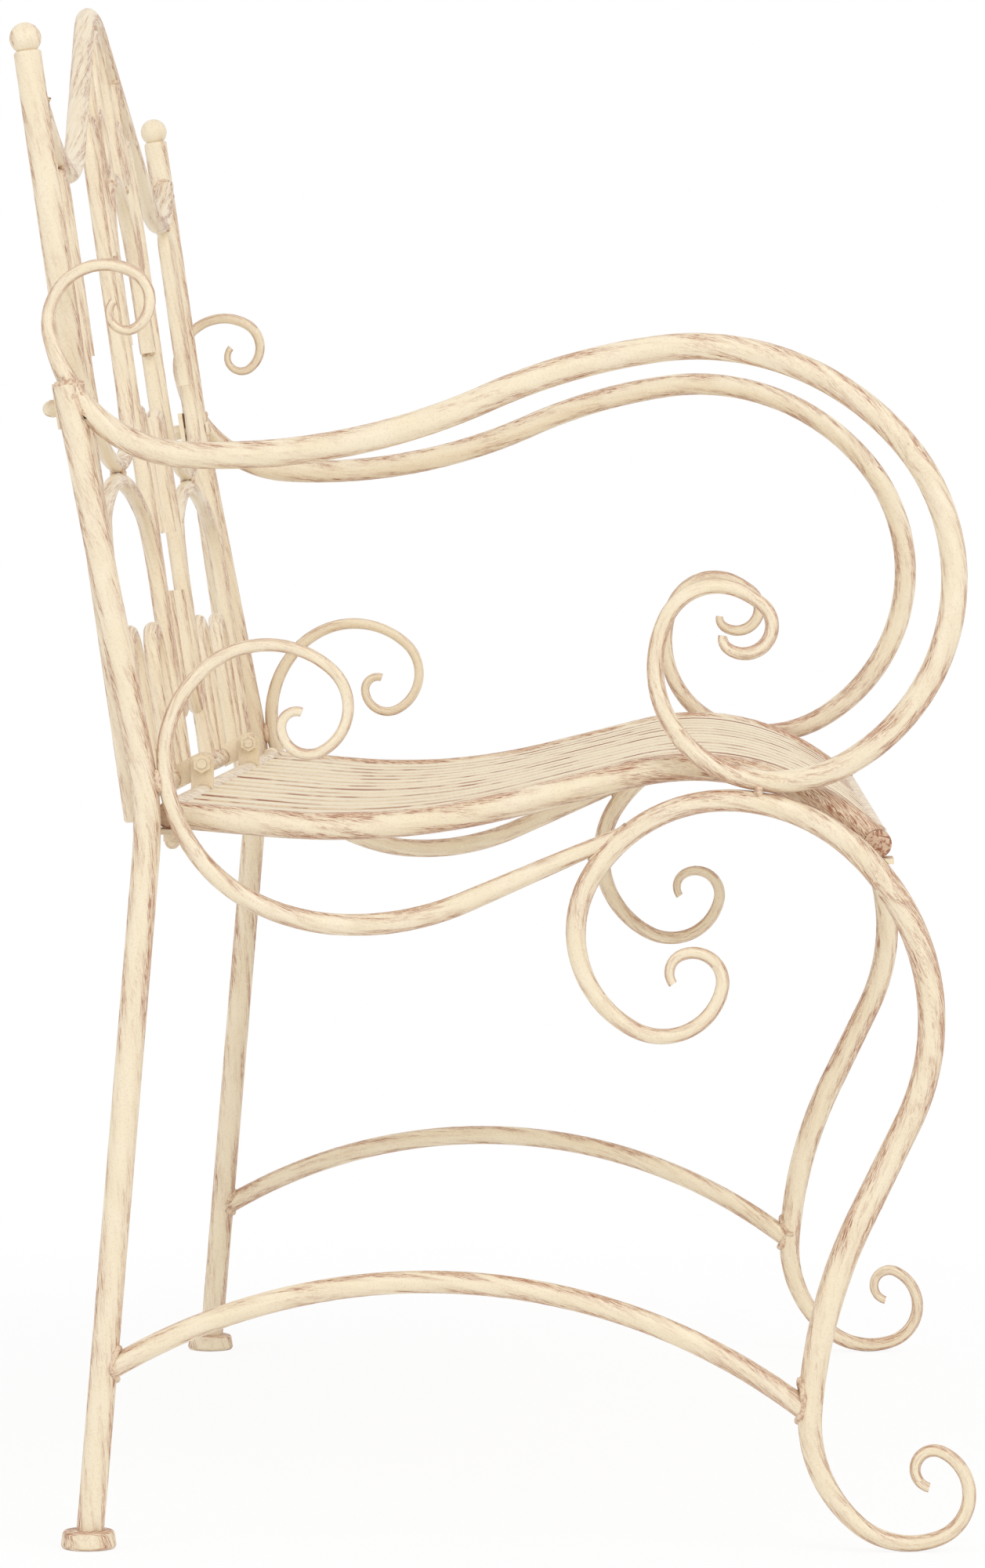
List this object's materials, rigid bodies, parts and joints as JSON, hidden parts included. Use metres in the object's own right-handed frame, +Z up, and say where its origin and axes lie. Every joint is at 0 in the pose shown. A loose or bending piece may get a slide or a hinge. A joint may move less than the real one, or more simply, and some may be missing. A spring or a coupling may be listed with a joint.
{
  "type": "garden bench",
  "caption": "Wrought iron garden bench with scrolled arm and leg frames, a bolted scrollwork back with ball finials, and a slatted seat that rolls over at the front.",
  "frame": {"origin": "on the floor, under the middle of the bench's bounding box", "axes": "+Z up, +X along the bench towards the sitter's left, the sitter faces -Y"},
  "size_m": [1.0822, 0.5604, 0.9239],
  "materials": {
    "frame_paint": "satin antique cream paint, rubbed with reddish brown on edges and welds",
    "seat_paint": "satin antique cream paint, brushed with reddish brown along the slats",
    "fastener_paint": "painted over with the bench, satin cream"
  },
  "bodies": {
    "root": {"acorn_nuts": "fastener_paint", "back_bolts": "fastener_paint", "back_bottom_rail": "frame_paint", "back_clips": "frame_paint", "back_top_rail": "frame_paint", "ball_finials": "frame_paint", "centre_arch": "frame_paint", "clip_bolts": "fastener_paint", "clip_nuts": "fastener_paint", "crest_hairpin": "frame_paint", "foot_caps": "frame_paint", "front_seat_tabs": "frame_paint", "left_arm_scroll": "frame_paint", "left_back_post": "frame_paint", "left_back_tab": "frame_paint", "left_centre_scroll": "frame_paint", "left_crest_ring": "frame_paint", "left_front_leg": "frame_paint", "left_hairpins": "frame_paint", "left_lower_arch": "frame_paint", "left_rear_leg": "frame_paint", "left_seat_scroll": "frame_paint", "left_seat_side_rail": "seat_paint", "left_stretcher": "frame_paint", "left_upper_scroll": "frame_paint", "left_upright": "frame_paint", "rear_seat_tabs": "frame_paint", "right_arm_scroll": "frame_paint", "right_back_post": "frame_paint", "right_back_tab": "frame_paint", "right_centre_scroll": "frame_paint", "right_crest_ring": "frame_paint", "right_front_leg": "frame_paint", "right_hairpins": "frame_paint", "right_lower_arch": "frame_paint", "right_rear_leg": "frame_paint", "right_seat_scroll": "frame_paint", "right_seat_side_rail": "seat_paint", "right_stretcher": "frame_paint", "right_upper_scroll": "frame_paint", "right_upright": "frame_paint", "seat_bolts": "fastener_paint", "seat_clips": "frame_paint", "seat_front_rail": "seat_paint", "seat_rear_rail": "seat_paint", "seat_slat_01": "seat_paint", "seat_slat_02": "seat_paint", "seat_slat_03": "seat_paint", "seat_slat_04": "seat_paint", "seat_slat_05": "seat_paint", "seat_slat_06": "seat_paint", "seat_slat_07": "seat_paint", "seat_slat_08": "seat_paint", "seat_slat_09": "seat_paint", "seat_slat_10": "seat_paint", "seat_slat_11": "seat_paint", "seat_slat_12": "seat_paint", "seat_slat_13": "seat_paint", "seat_slat_14": "seat_paint"}
  },
  "joints": []
}
